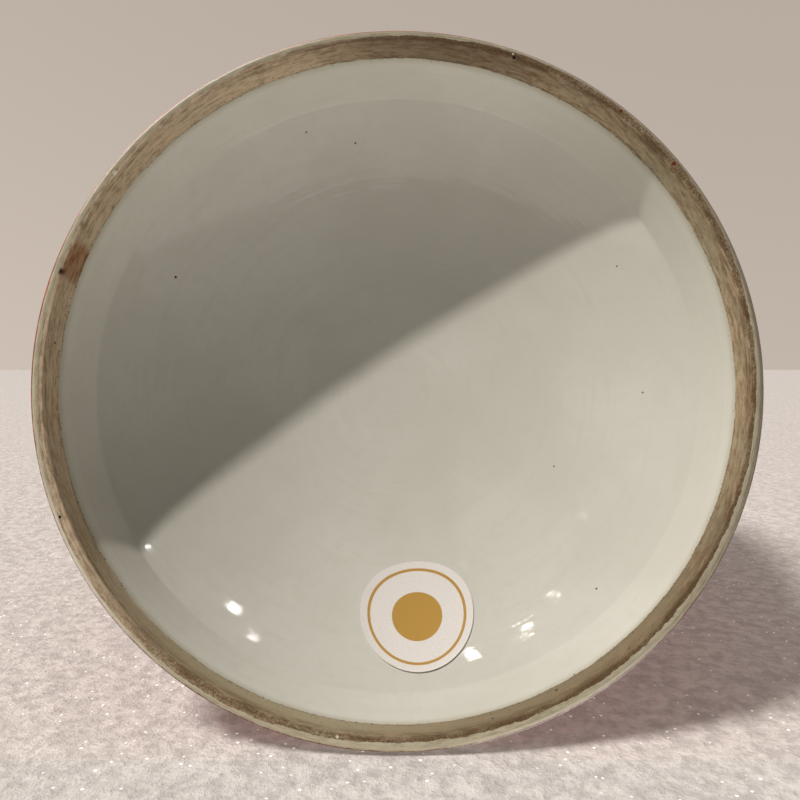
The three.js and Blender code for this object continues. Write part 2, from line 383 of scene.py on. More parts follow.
foot_wall = bezier([(FOOT_RADIUS, BEVEL_HEIGHT),
                    (FOOT_TOP[0] - FOOT_WALL_HOLLOW, (BEVEL_HEIGHT + FOOT_TOP[1]) / 2), FOOT_TOP],
                   FOOT_WALL_STEPS)
ring_inside = level_point(np.array([INNER_EDGE, RECESS_CORNER]), RING_INNER_SEAM)
ring_corners = [ring_inside, INNER_EDGE, (FLAT_INNER, 0), (FLAT_OUTER, 0),
                (FOOT_RADIUS, BEVEL_HEIGHT), foot_wall[RING_SEAM_STEP]]
ring_section = refined(softened(ring_corners, WORN_EDGE, WORN_STEPS), RING_SPACING)
foot_ring = turned("foot_ring", ring_section, RING_TURNS)

# Marks on the ring, by radius, angle from +X, height and size
RUST_STAIN = on_foot(56.1, 63.4, 0, 0)[:3]
RUST_LENGTH = 8.0
RUST_WIDTH = 1.7
RUST_BLOB = [on_foot(56.9, 60.9, 0.0, 0.15)]
CHIPS = [on_foot(57.2, 79.8, 0.0, 0.35), on_foot(57.4, 155.0, 0.0, 0.15), on_foot(57.1, -36.0, 0.0, 0.2)]
DOTS = [on_foot(56.0, 49.3, 2.3, 0.16), on_foot(57.6, 20.4, 0.0, 0.18), on_foot(56.8, 155.4, 0.0, 0.25),
        on_foot(56.1, -60.0, 2.0, 0.14), on_foot(55.9, -71.0, 3.0, 0.2), on_foot(56.4, -84.0, 1.0, 0.12)]
RED_SPECKS = [on_foot(54.4, 175.5, 5.0, 0.2), on_foot(54.6, 177.9, 4.8, 0.15),
              on_foot(57.5, 175.8, 0.0, 0.2), on_foot(55.8, 167.8, 2.4, 0.2),
              on_foot(57.3, 188.4, 0.0, 0.25)]

# Sides of the ring that differ, as angles from +X; a soiled side has where it begins and how much
SOILED_SIDES = [(140, 0.84, 0.55), (-82, 0.6, 0.5)]
PALE_SIDE = 62
FILMED_SIDE = -35
LAPPED_AND_LIT_SIDE = 92
GLAZE_LAP = 0.7
GLAZE_LINE = 4.2

CLAY_DARK, CLAY_PALE = seen(132, 108, 80), seen(190, 168, 138)
STRIA_DARK, STRIA_PALE = seen(116, 92, 64), seen(178, 156, 126)
GREY_CLAY = seen(156, 150, 122)
THIN_FILM = seen(178, 166, 136)
WORN_DARK, WORN_PALE = seen(92, 72, 50), seen(150, 128, 100)
SOIL = seen(84, 62, 40)
MIDDLE_SOIL = seen(92, 70, 46)
PALER_CLAY = seen(214, 190, 160)
GRIME = seen(62, 46, 30)
RUST_DARK, RUST_PALE, RUST_CORE = seen(112, 64, 22), seen(162, 102, 44), seen(62, 32, 12)
CREAM_DARK, CREAM_PALE, CREAM_STRIA = seen(158, 146, 116), seen(184, 174, 146), seen(136, 114, 86)
THIN_GLAZE = seen(188, 180, 156)
RIM_SOIL = seen(62, 46, 32)
BUBBLE, IRON_DOT = seen(58, 44, 30), seen(30, 24, 18)
CHIP, RED_SPECK = seen(208, 200, 184), seen(112, 50, 34)
EDGE_BROWN, EDGE_RED_IN_PAINTED_SHADE = seen(112, 62, 44), seen(106, 58, 42)

biscuit, tree, shader = new_material("bare_biscuit")
where = turning(tree, 45.0)
short = turning(tree, 3.5)
spot, radius, height = where["Place"], where["Radius"], where["Height"]
striae = noise(tree, where["Round"], 3.2, 3.0, 0.65, w=height)
mottle = noise(tree, short["Round"], 1.7, 4.0, 0.7, w=height)
grit = noise(tree, spot, 2.6, 4.0, 0.75)
patch = noise(tree, spot, 0.12, 3.0, 0.6)

# Bare clay: mottled, scored by the turning tool, with a thin film of glaze towards the inside
inward = step_between(tree, radius, FLAT_INNER + 0.2, INNER_EDGE[0] + 0.1)
clay = blend(tree, step_between(tree, mottle, 0.36, 0.64), CLAY_DARK, CLAY_PALE)
clay = blend(tree, step_between(tree, striae, 0.5, 0.7, 0.0, 0.6), clay, STRIA_PALE)
clay = blend(tree, step_between(tree, striae, 0.46, 0.32, 0.0, 0.6), clay, STRIA_DARK)
clay = blend(tree, step_between(tree, patch, 0.5, 0.66, 0.0, 0.45), clay, GREY_CLAY)
glaze_film = times(tree, inward, step_between(tree, mottle, 0.3, 0.65, 0.1, 0.6))
glaze_film = times(tree, glaze_film, step_between(tree, patch, 0.38, 0.55, 0.2, 1.0))
filmed = times(tree, side_of_foot(tree, spot, FILMED_SIDE, 0.1, 0.8),
               times(tree, inward, step_between(tree, mottle, 0.62, 0.38, 0.5, 0.95)))
clay = blend(tree, maths(tree, "MAXIMUM", glaze_film, filmed), clay, THIN_FILM)

# Wear on the flat, and what the shelf left on it: soil, grime and a rust stain
flat = step_between(tree, radius, FLAT_INNER - 0.1, FLAT_INNER + 0.35)
worn = times(tree, flat, step_between(tree, grit, 0.6, 0.42, 0.2, 0.85))
clay = blend(tree, worn, clay, blend(tree, step_between(tree, grit, 0.38, 0.62), WORN_DARK, WORN_PALE))
for degrees, begins, share in SOILED_SIDES:
    clay = blend(tree, side_of_foot(tree, spot, degrees, begins, 0.96, share), clay, SOIL)
blots = noise(tree, short["Round"], 0.7, 3.0, 0.65, w=height)
middle = times(tree, step_between(tree, radius, FLAT_INNER - 0.5, FLAT_INNER + 0.1),
               step_between(tree, radius, FLAT_OUTER - 0.2, FLAT_OUTER - 0.8))
clay = blend(tree, times(tree, middle, step_between(tree, blots, 0.42, 0.6, 0.1, 0.7)), clay, MIDDLE_SOIL)
# The clay is paler towards one side of the ring.
pale = side_of_foot(tree, spot, PALE_SIDE, 0.2, 0.7, 0.7)
pale = times(tree, pale, step_between(tree, maths(tree, "ADD", mottle, striae), 0.8, 1.15, 0.3, 1.2))
clay = blend(tree, pale, clay, PALER_CLAY)
grime = times(tree, step_between(tree, grit, 0.42, 0.3), step_between(tree, patch, 0.4, 0.6))
clay = blend(tree, times(tree, grime, 0.7), clay, GRIME)
stain = use(tree, streak_mask, Place=spot, Centre=RUST_STAIN, Length=RUST_LENGTH, Width=RUST_WIDTH)
stain = times(tree, stain["Mask"], step_between(tree, mottle, 0.3, 0.55, 1.0, 0.6))
clay = blend(tree, stain, clay, blend(tree, step_between(tree, striae, 0.4, 0.6), RUST_DARK, RUST_PALE))
clay = blend(tree, spots(tree, spot, RUST_BLOB, 0.9), clay, RUST_CORE)

# Wavy line where the glaze stops: cream over the outer bevel, white up the inner side, with
# soil and burst bubbles caught along it
wobble = noise(tree, spot, 0.35, 3.0, 0.6)
ripple = noise(tree, spot, 1.6, 3.0, 0.6)
shift = maths(tree, "MULTIPLY_ADD", wobble, 0.9, -0.45)
shift = maths(tree, "ADD", shift, maths(tree, "MULTIPLY_ADD", ripple, 0.4, -0.2))
lapped = maths(tree, "MAXIMUM", *[side_of_foot(tree, spot, LAPPED_AND_LIT_SIDE + turn, 0.15, 0.8)
                                  for turn in (0, 180)])
edge_out = maths(tree, "ADD", radius, maths(tree, "MULTIPLY_ADD", lapped, GLAZE_LAP, shift))
on_bevel = step_between(tree, edge_out, FLAT_OUTER - 0.02, FLAT_OUTER + 0.14)
inner_line = maths(tree, "ADD", height, times(tree, shift, 0.5))
inner_side = step_between(tree, radius, FLAT_INNER, FLAT_INNER - 0.2)
on_wall = times(tree, step_between(tree, inner_line, GLAZE_LINE - 0.15, GLAZE_LINE), inner_side)
glaze = use(tree, white_glaze, Place=spot)
glassy = maths(tree, "MAXIMUM", on_bevel, on_wall)
colour = blend(tree, glassy, clay, glaze["Color"])
cream = blend(tree, step_between(tree, mottle, 0.35, 0.6), CREAM_DARK, CREAM_PALE)
cream = blend(tree, step_between(tree, striae, 0.52, 0.66, 0.0, 0.5), cream, CREAM_STRIA)
colour = blend(tree, times(tree, on_bevel, 0.9), colour, cream)
thin = times(tree, on_wall, step_between(tree, inner_line, GLAZE_LINE + 1.2, GLAZE_LINE))
colour = blend(tree, times(tree, thin, 0.6), colour, THIN_GLAZE)
rim_line = times(tree, step_between(tree, inner_line, GLAZE_LINE - 0.45, GLAZE_LINE - 0.15),
                 step_between(tree, inner_line, GLAZE_LINE + 0.15, GLAZE_LINE - 0.08))
rim_line = times(tree, rim_line, step_between(tree, patch, 0.38, 0.55))
rim_line = times(tree, times(tree, rim_line, inner_side), step_between(tree, grit, 0.5, 0.35, 0.25, 1.0))
colour = blend(tree, times(tree, rim_line, 0.8), colour, RIM_SOIL)
near_rim = times(tree, step_between(tree, inner_line, GLAZE_LINE - 1.6, GLAZE_LINE - 0.3),
                 step_between(tree, inner_line, GLAZE_LINE + 0.5, GLAZE_LINE))
bubbles = add(tree, "ShaderNodeTexVoronoi", spot, None, 1.1).outputs["Distance"]
bubbles = times(tree, step_between(tree, bubbles, 0.17, 0.1), times(tree, near_rim, inner_side))
colour = blend(tree, times(tree, bubbles, 0.85), colour, BUBBLE)
for marks, soft_edge, tint in ((DOTS, 0.1, IRON_DOT), (CHIPS, 0.12, CHIP), (RED_SPECKS, 0.2, RED_SPECK)):
    colour = blend(tree, spots(tree, spot, marks, soft_edge), colour, tint)

# Line of coral enamel just over the outer edge. It is wider towards one side, where it keeps the enamel's
# colour; round the rest of the edge it is painted darker red, as painted shade away from the key lamp.
wider_lit_red_side = side_of_foot(tree, spot, LAPPED_AND_LIT_SIDE, 0.3, 0.8)
edge_red = maths(tree, "ADD", radius, times(tree, shift, 0.5))
edge_red = maths(tree, "ADD", edge_red, maths(tree, "MULTIPLY_ADD", grit, 0.5, -0.25))
edge_red = maths(tree, "MULTIPLY_ADD", wider_lit_red_side, 0.25, edge_red)
reddened = step_between(tree, edge_red, FOOT_RADIUS - 0.42, FOOT_RADIUS - 0.2)
enamel = use(tree, coral_enamel, Place=spot, Round=where["Round"], Height=height)
edge_colour = blend(tree, step_between(tree, mottle, 0.4, 0.6), EDGE_BROWN, enamel["Color"])
# Painted shade: away from the key lamp's side the red edge is darkened.
edge_colour = blend(tree, wider_lit_red_side, EDGE_RED_IN_PAINTED_SHADE, edge_colour)
colour = blend(tree, reddened, colour, edge_colour)
tree.links.new(colour, shader.inputs["Base Color"])
shader.inputs["Specular IOR Level"].default_value = 0.3
rough = between_two(tree, on_wall, between_two(tree, on_bevel, 0.8, 0.5), 0.15)
tree.links.new(between_two(tree, reddened, rough, 0.5), shader.inputs["Roughness"])
scored = times(tree, maths(tree, "SUBTRACT", 1.0, glassy), times(tree, striae, 0.12))
scored = maths(tree, "ADD", scored, times(tree, glassy, 0.1))
chipped = times(tree, spots(tree, spot, CHIPS, 0.2), 0.1)
raise_surface(tree, shader, maths(tree, "SUBTRACT", scored, chipped))
foot_ring.data.materials.append(biscuit)
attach(foot_ring, "root")
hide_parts("lower_body")

# Vaulted base: the domed underside inside the foot, dipped in white glaze, with the floor of
# the inside above it. The glaze has a few burst bubbles and specks of iron.
VAULT_HEIGHT = 27.6
VAULT_CROWN_REACH = 27.0
VAULT_CORNER_REACH = 12.4
VAULT_CORNER_ANGLE = 47.0
BASE_THICKNESS = 6.5
FLOOR_CROWN_REACH = 30.0
GUTTER_INSET = 2.6
GUTTER_RISE = 12.6
GUTTER_REACH = 5.0
VAULT_STEPS = 110
RECESS_WALL_STEPS = 12
FLOOR_STEPS = 50
BASE_TURNS = 360


def along(start, length, degrees):
    """Point at a length from another, at an angle from straight up towards the outside."""
    angle = math.radians(degrees)
    return (start[0] + length * math.sin(angle), start[1] + length * math.cos(angle))


vault = bezier([(0, VAULT_HEIGHT), (VAULT_CROWN_REACH, VAULT_HEIGHT),
                along(RECESS_CORNER, VAULT_CORNER_REACH, -VAULT_CORNER_ANGLE), RECESS_CORNER],
               VAULT_STEPS)
gutter = (RECESS_CORNER[0] - GUTTER_INSET, RECESS_CORNER[1] + GUTTER_RISE)
crown = (0, VAULT_HEIGHT + BASE_THICKNESS)
floor_row = bezier([crown, (FLOOR_CROWN_REACH, crown[1]), (gutter[0] - GUTTER_REACH, gutter[1]),
                    gutter], FLOOR_STEPS)
recess_wall = straight(RECESS_CORNER, ring_inside, RECESS_WALL_STEPS)
base_section = np.concatenate([vault, recess_wall[1:], floor_row[::-1]])
vaulted_base = turned("vaulted_base", base_section, BASE_TURNS)

PHOTO_RIGHT = np.array([-1, -1, 0]) / math.sqrt(2)
PHOTO_DOWN = np.array([1, -1, 0]) / math.sqrt(2)


def on_base(right, down, size):
    """Spot on the vault by its distances to the right of and below the axis, seen from below."""
    height = np.interp(math.hypot(right, down), vault[:, 0], vault[:, 1])
    return (*(PHOTO_RIGHT * right + PHOTO_DOWN * down)[:2], height, size)


IRON_SPECKS = [on_base(-41, -20, 0.15), on_base(-17, -47, 0.09), on_base(-8, -46, 0.1),
               on_base(40.5, -22, 0.08), on_base(44.5, 1.5, 0.08), on_base(29, 14.5, 0.07),
               on_base(34, 36, 0.08)]
IRON, TURNING_RING = seen(52, 42, 32), seen(206, 203, 188)

base_glaze, tree, shader = new_material("base_glaze")
where = turning(tree, 9.0)
glaze = use(tree, white_glaze, Place=where["Place"])
rings = noise(tree, where["Round"], 0.8, 2.0, 0.5, w=where["Height"])
colour = blend(tree, step_between(tree, rings, 0.5, 0.75, 0.0, 0.25), glaze["Color"], TURNING_RING)
colour = blend(tree, spots(tree, where["Place"], IRON_SPECKS, 0.16), colour, IRON)
tree.links.new(colour, shader.inputs["Base Color"])
tree.links.new(glaze["Roughness"], shader.inputs["Roughness"])
raise_surface(tree, shader, maths(tree, "ADD", glaze["Height"], times(tree, rings, 0.05)))
vaulted_base.data.materials.append(base_glaze)
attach(vaulted_base, "root")
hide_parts("lower_body")

# Lower half of the body, from the foot to the luting joint at the belly: thrown porcelain,
# glazed white inside and enamelled coral outside.
BODY_START_ANGLE = 16.0
BODY_START_REACH = 26.0
BELLY = (81.0, 98.0)
BELLY_LOWER_REACH = 32.0
BELLY_UPPER_REACH = 46.0
NECK = (22.5, 230.0)
NECK_LOWER_REACH = 80.0
NECK_UPPER_REACH = 27.0
MOUTH_RADIUS = 42.0
VASE_HEIGHT = 285.0
MOUTH_REACH = 14.0
MOUTH_ANGLE = 50.0
LOWER_WALL = 5.0
BELLY_WALL = 4.6
NECK_WALL = 3.8
MOUTH_WALL = 3.0
FLOOR_BLEND_HEIGHT = 38.0
FLOOR_BLEND_INSET = 3.0
SLIP_HALF = 0.4
NECK_JOINT = 190.0
LOWER_STEPS, LOWER_INNER_STEPS = 60, 40
SHOULDER_STEPS, SHOULDER_INNER_STEPS = 70, 50
MOUTH_STEPS = 48
FLOOR_BLEND_STEPS = 12
BODY_TURNS = 300

lip_centre = (MOUTH_RADIUS - MOUTH_WALL / 2, VASE_HEIGHT - MOUTH_WALL / 2)
mouth_outside = along(lip_centre, MOUTH_WALL / 2, MOUTH_ANGLE + 90)


def inner_wall(corners, steps, start_wall, end_wall):
    """Inner side of a stretch: its outline moved inwards, square to itself, by a wall that goes
    evenly from one thickness to the other."""
    row = bezier(corners, steps)
    slope = bezier(np.diff(np.array(corners, float), axis=0), steps)
    slope /= np.linalg.norm(slope, axis=1)[:, None]
    wall = np.linspace(start_wall, end_wall, steps + 1)
    return np.c_[row[:, 0] - slope[:, 1] * wall, row[:, 1] + slope[:, 0] * wall]


lower = [FOOT_TOP, along(FOOT_TOP, BODY_START_REACH, BODY_START_ANGLE),
         along(BELLY, -BELLY_LOWER_REACH, 0), BELLY]
shoulder = [BELLY, along(BELLY, BELLY_UPPER_REACH, 0), along(NECK, -NECK_LOWER_REACH, 0), NECK]
mouth = [NECK, along(NECK, NECK_UPPER_REACH, 0),
         along(mouth_outside, -MOUTH_REACH, MOUTH_ANGLE), mouth_outside]
outer = np.concatenate([bezier(lower, LOWER_STEPS), bezier(shoulder, SHOULDER_STEPS)[1:],
                        bezier(mouth, MOUTH_STEPS)[1:]])
inner = np.concatenate([inner_wall(lower, LOWER_INNER_STEPS, LOWER_WALL, BELLY_WALL),
                        inner_wall(shoulder, SHOULDER_INNER_STEPS, BELLY_WALL, NECK_WALL)[1:],
                        inner_wall(mouth, MOUTH_STEPS, NECK_WALL, MOUTH_WALL)[1:]])


def between(row, low, high):
    """Part of a rising row from one height to another, cut level at both."""
    inside = row[(row[:, 1] > low + 0.01) & (row[:, 1] < high - 0.01)]
    return np.concatenate([level_point(row, low)[None], inside, level_point(row, high)[None]])


wall_foot = level_point(inner, FLOOR_BLEND_HEIGHT)
floor_blend = bezier([gutter, (wall_foot[0] - FLOOR_BLEND_INSET, gutter[1]), wall_foot],
                     FLOOR_BLEND_STEPS)
lower_top = BELLY[1] - SLIP_HALF
lower_outside = np.concatenate([foot_wall[RING_SEAM_STEP:-1], between(outer, FOOT_TOP[1], lower_top)])
lower_inside = np.concatenate([floor_blend[:-1], between(inner, FLOOR_BLEND_HEIGHT, lower_top)])
lower_section = np.concatenate([lower_outside, lower_inside[::-1], ring_inside[None]])


def inside_share(outside, inside, ends=0):
    """1 for the points of the inner side of a section and 0 for the others."""
    return np.r_[np.zeros(len(outside)), np.ones(len(inside)), np.ones(ends)]


body_glaze, tree, shader = new_material("coral_enamel")
where = turning(tree, 12.0)
glaze = use(tree, white_glaze, Place=where["Place"])
enamel = use(tree, coral_enamel, Place=where["Place"], Round=where["Round"], Height=where["Height"])
side = add(tree, "ShaderNodeAttribute", attribute_name="inside").outputs["Fac"]
wander = maths(tree, "MULTIPLY_ADD", noise(tree, where["Place"], 0.25, 3.0, 0.6), 0.5, -0.25)
white = step_between(tree, maths(tree, "ADD", side, wander), 0.45, 0.55)
colour = blend(tree, white, enamel["Color"], glaze["Color"])
tree.links.new(colour, shader.inputs["Base Color"])
tree.links.new(between_two(tree, white, enamel["Roughness"], glaze["Roughness"]),
               shader.inputs["Roughness"])
raise_surface(tree, shader, between_two(tree, white, enamel["Height"], glaze["Height"]))
lower_wall = turned("lower_wall", lower_section, BODY_TURNS,
                    {"inside": inside_share(lower_outside, lower_inside, 1)})
lower_wall.data.materials.append(body_glaze)
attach(lower_wall, "root")
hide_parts("lower_body")

# Luting joints: the rings of slip that held the thrown sections together. Outside they are
# scraped level and enamelled over, and inside they stand proud as a soft bead.
SLIP_BEAD = 0.9
BEAD_STEPS = 8


def luting(name, node, level):
    """Ring of slip round the joint at a level, replacing the CAD node of the same joint."""
    low, high = level - SLIP_HALF, level + SLIP_HALF
    inside_low, inside_high = level_point(inner, low), level_point(inner, high)
    bead = ((inside_low[0] + inside_high[0]) / 2 - 2 * SLIP_BEAD, level)
    outside = straight(level_point(outer, low), level_point(outer, high), 2)
    soft = bezier([inside_high, bead, inside_low], BEAD_STEPS)
    ring = turned(name, np.concatenate([outside, soft]), BODY_TURNS,
                  {"inside": inside_share(outside, soft)})
    ring.data.materials.append(body_glaze)
    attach(ring, "root")
    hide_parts(node)


luting("belly_seam", "belly_luting_slip", BELLY[1])
luting("neck_seam", "neck_luting_slip", NECK_JOINT)

# Upper half of the body: the shoulder, thrown on its own from the same porcelain. It is luted to
# the lower half at the belly and to the neck above, and enamelled in one with them.
upper_outside = between(outer, BELLY[1] + SLIP_HALF, NECK_JOINT - SLIP_HALF)
upper_inside = between(inner, BELLY[1] + SLIP_HALF, NECK_JOINT - SLIP_HALF)
upper_wall = turned("upper_wall", np.concatenate([upper_outside, upper_inside[::-1]]), BODY_TURNS,
                    {"inside": inside_share(upper_outside, upper_inside)})
upper_wall.data.materials.append(body_glaze)
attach(upper_wall, "root")
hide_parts("upper_body")

# Neck and flared mouth: the coral stops in a brushed line on the rounded lip, and the white
# glaze runs from there down the inside.
LIP_STEPS = 18
LIP_START, LIP_END = -0.2, 1.6
NECK_OUTSIDE = -0.4
neck_foot = NECK_JOINT + SLIP_HALF
neck_outside = between(outer, neck_foot, mouth_outside[1])
neck_inside = between(inner, neck_foot, inner[-1, 1])
lip_angles = np.radians(np.linspace(-MOUTH_ANGLE, 180 - MOUTH_ANGLE, LIP_STEPS + 1)[1:-1])
lip = np.array(lip_centre) + MOUTH_WALL / 2 * np.c_[np.cos(lip_angles), np.sin(lip_angles)]
neck_section = np.concatenate([neck_outside, lip, neck_inside[::-1]])
neck_inside_share = np.r_[np.full(len(neck_outside), NECK_OUTSIDE),
                          np.linspace(LIP_START, LIP_END, len(lip)), np.full(len(neck_inside), LIP_END)]
neck_wall = turned("neck_and_mouth_wall", neck_section, BODY_TURNS, {"inside": neck_inside_share})
neck_wall.data.materials.append(body_glaze)
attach(neck_wall, "root")
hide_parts("neck_and_mouth")

# Round paper label, stuck to the vault and curved with it. Its print is left generic: a plain
# gold ring and disc.
LABEL_RADIUS = 10.1
LABEL_THICKNESS = 0.15
LABEL_GAP = 0.05
LABEL_CORNER_DISTANCE = 11.2
LABEL_AZIMUTH = -49.8
EDGE_LIFT = 0.12
EDGE_LIFT_TURN = 0.6
LABEL_RINGS = 28
LABEL_TURNS = 144
GOLD_RING_INNER, GOLD_RING_OUTER, GOLD_DISC = 8.3, 8.8, 4.45
GOLD_EDGE = 0.05
PAPER_DARK, PAPER_PALE, GOLD = seen(236, 229, 222), seen(243, 237, 231), seen(196, 154, 78)

vault_length = np.r_[0, np.cumsum(np.linalg.norm(np.diff(vault, axis=0), axis=1))]
label_middle = np.interp(RECESS_CORNER[0] - LABEL_CORNER_DISTANCE, vault[:, 0], vault_length)


def label_face(share, angle, raised):
    """Points of the label at a share of its radius and an angle: the flat disc's outward side is
    laid along the vault's arc length and its sideways side round the axis, then each point is
    raised off the vault along its normal."""
    outward = label_middle + LABEL_RADIUS * share * np.cos(angle)
    sideways = LABEL_RADIUS * share * np.sin(angle)
    radius = np.interp(outward, vault_length, vault[:, 0])
    height = np.interp(outward, vault_length, vault[:, 1])
    slope = np.gradient(vault, vault_length, axis=0)
    run, fall = (np.interp(outward, vault_length, slope[:, i]) for i in (0, 1))
    azimuth = math.radians(LABEL_AZIMUTH) + sideways / radius
    radius, height = radius + fall * raised, height - run * raised
    return np.stack([radius * np.cos(azimuth), radius * np.sin(azimuth), height], -1)


share = np.linspace(0, 1, LABEL_RINGS + 1)[1:, None]
angle = 2 * np.pi * np.arange(LABEL_TURNS) / LABEL_TURNS
lift = LABEL_GAP + EDGE_LIFT * share**8 * (1 + np.sin(angle + EDGE_LIFT_TURN))
back_face = label_face(share, angle, lift).reshape(-1, 3)
front_face = label_face(share, angle, lift + LABEL_THICKNESS).reshape(-1, 3)
centres = [label_face(np.zeros(1), np.zeros(1), LABEL_GAP + t)[0] for t in (0, LABEL_THICKNESS)]
grid = np.arange(LABEL_RINGS * LABEL_TURNS).reshape(LABEL_RINGS, LABEL_TURNS)
near, far = grid[:-1], grid[1:]
back_quads = np.stack([near, far, np.roll(far, -1, 1), np.roll(near, -1, 1)], -1).reshape(-1, 4)
count = grid.size
rim = np.stack([grid[-1], grid[-1] + count, np.roll(grid[-1], -1) + count, np.roll(grid[-1], -1)], -1)
faces = back_quads.tolist() + (back_quads[:, ::-1] + count).tolist() + rim.tolist()
faces += [[2 * count, a, b] for a, b in zip(grid[0], np.roll(grid[0], -1))]
faces += [[2 * count + 1, b + count, a + count] for a, b in zip(grid[0], np.roll(grid[0], -1))]
label = surface("label_paper_disc", np.r_[back_face, front_face, centres], faces)
across, up = LABEL_RADIUS * share * np.cos(angle), LABEL_RADIUS * share * np.sin(angle)
flat = np.stack([across, up, np.zeros_like(across)], -1)
flat = np.r_[flat.reshape(-1, 3), flat.reshape(-1, 3), np.zeros((2, 3))].astype(np.float32)
label.data.attributes.new("flat", "FLOAT_VECTOR", "POINT").data.foreach_set("vector", flat.ravel())

paper, tree, shader = new_material("label_paper")
sheet = add(tree, "ShaderNodeAttribute", attribute_name="flat").outputs["Vector"]
from_centre = vectors(tree, "LENGTH", sheet)["Value"]


def printed_within(radius, edge):
    """Mask of the print inside a radius, or outside it where the edge is negative."""
    return step_between(tree, from_centre, radius + edge, radius - edge)


fibres = noise(tree, sheet, 3.0, 4.0, 0.6)
colour = blend(tree, step_between(tree, fibres, 0.35, 0.65), PAPER_DARK, PAPER_PALE)
in_ring = times(tree, printed_within(GOLD_RING_INNER, -GOLD_EDGE),
                printed_within(GOLD_RING_OUTER, GOLD_EDGE))
gold = maths(tree, "MAXIMUM", in_ring, printed_within(GOLD_DISC, GOLD_EDGE))
colour = blend(tree, gold, colour, GOLD)
tree.links.new(colour, shader.inputs["Base Color"])
tree.links.new(between_two(tree, gold, 0.7, 0.45), shader.inputs["Roughness"])
raise_surface(tree, shader, times(tree, fibres, 0.02))
label.data.materials.append(paper)
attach(label, "root")
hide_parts("paper_label")

# Floor under the standing vase: a plain pale sheet. From below it is left out of the picture,
# and light from below passes it inside the foot.
FLOOR_DROP = 0.2
FLOOR_REACH = 3000.0
LIGHT_HOLE = 62.0
FADE_START, FADE_END = 280.0, 1100.0
FLOOR_DARK, FLOOR_PALE = seen(210, 199, 188), seen(222, 212, 201)

square = ((-1, -1), (1, -1), (1, 1), (-1, 1))
floor_corners = [(x * FLOOR_REACH, y * FLOOR_REACH, -FLOOR_DROP) for x, y in square]
floor = surface("floor", floor_corners, [[0, 1, 2, 3]])
sheet_material, tree, shader = new_material("pale_sheet")
shader.inputs["Roughness"].default_value = 0.9
where = turning(tree, 1.0)
weave = noise(tree, where["Place"], 0.4, 4.0, 0.7)
tree.links.new(blend(tree, weave, FLOOR_DARK, FLOOR_PALE), shader.inputs["Base Color"])
clear = add(tree, "ShaderNodeBsdfTransparent").outputs[0]
path = add(tree, "ShaderNodeLightPath").outputs
behind = add(tree, "ShaderNodeNewGeometry").outputs["Backfacing"]
camera = path["Is Camera Ray"]
faded = step_between(tree, where["Radius"], FADE_START, FADE_END)
from_below = times(tree, camera, behind)
hole = times(tree, maths(tree, "SUBTRACT", 1.0, camera),
             maths(tree, "LESS_THAN", where["Radius"], LIGHT_HOLE))
open_share = maths(tree, "MAXIMUM", from_below, hole)
open_share = maths(tree, "MAXIMUM", open_share, times(tree, camera, faded))
mixed = add(tree, "ShaderNodeMixShader", open_share, shader.outputs[0], clear).outputs[0]
tree.links.new(mixed, tree.nodes["Material Output"].inputs["Surface"])
floor.data.materials.append(sheet_material)

# Soft sheet that the vase lies in, in the photograph: it touches the foot ring, runs back past
# the mouth and reaches a little in front of the foot. Behind the foot it shows only through the
# floor, so never behind the standing vase.
SHEET_LEAN = 12.4
SHEET_START = 59.6
SHEET_LENGTH = 2150.0
SHEET_HALF = 2500.0
SHEET_FRONT_LENGTH = 45.0
SHEET_FRONT_HALF = 95.0
FELT_DARK, FELT_PALE, SPARKLE = seen(160, 154, 149), seen(188, 181, 176), seen(255, 252, 248)
BLACK = seen(0, 0, 0)
lean = math.radians(SHEET_LEAN)
run = -PHOTO_DOWN * math.sin(lean) + np.array([0, 0, math.cos(lean)])
places = ((0, -SHEET_HALF), (0, SHEET_HALF), (SHEET_LENGTH, SHEET_HALF), (SHEET_LENGTH, -SHEET_HALF),
          (-SHEET_FRONT_LENGTH, -SHEET_FRONT_HALF), (-SHEET_FRONT_LENGTH, SHEET_FRONT_HALF),
          (0, SHEET_FRONT_HALF), (0, -SHEET_FRONT_HALF))
corners = [PHOTO_DOWN * SHEET_START + run * t + PHOTO_RIGHT * s for t, s in places]
lying_sheet = surface("lying_sheet", corners, [[0, 1, 2, 3], [4, 5, 6, 7]])
lying_material, tree, shader = new_material("lying_sheet")
shader.inputs["Roughness"].default_value = 0.85
where = turning(tree, 1.0)
fluff = noise(tree, where["Place"], 0.35, 5.0, 0.7)
# White specks on the sheet: painted glints of its fibres.
sparkle = add(tree, "ShaderNodeTexVoronoi", where["Place"], None, 0.45)
sparkle_glints = times(tree, step_between(tree, sparkle.outputs["Distance"], 0.14, 0.08),
                step_between(tree, noise(tree, where["Place"], 0.09, 2.0, 0.5), 0.35, 0.55))
felt = blend(tree, step_between(tree, fluff, 0.35, 0.65), FELT_DARK, FELT_PALE)
felt = blend(tree, sparkle_glints, felt, SPARKLE)
# The sheet's colour is darkened, and it glows with painted light in its place, stronger in front of the
# foot than further back.
tree.links.new(blend(tree, 0.4, felt, BLACK), shader.inputs["Base Color"])
dimmer_glow_further_back = step_between(tree, where["Height"], -8.0, 12.0, 0.0, 0.27)
tree.links.new(blend(tree, dimmer_glow_further_back, felt, BLACK), shader.inputs["Emission Color"])
shader.inputs["Emission Strength"].default_value = 0.46
raise_surface(tree, shader, times(tree, fluff, 1.2))
clear = add(tree, "ShaderNodeBsdfTransparent").outputs[0]
path = add(tree, "ShaderNodeLightPath").outputs
through = maths(tree, "GREATER_THAN", path["Transparent Depth"], 0.5)
through = maths(tree, "MAXIMUM", through, maths(tree, "LESS_THAN", where["Height"], -FLOOR_DROP))
shown = times(tree, path["Is Camera Ray"], through)
mixed = add(tree, "ShaderNodeMixShader", shown, clear, shader.outputs[0]).outputs[0]
tree.links.new(mixed, tree.nodes["Material Output"].inputs["Surface"])
lying_sheet.data.materials.append(lying_material)
for hidden in ("visible_diffuse", "visible_glossy", "visible_transmission", "visible_shadow"):
    setattr(lying_sheet, hidden, False)

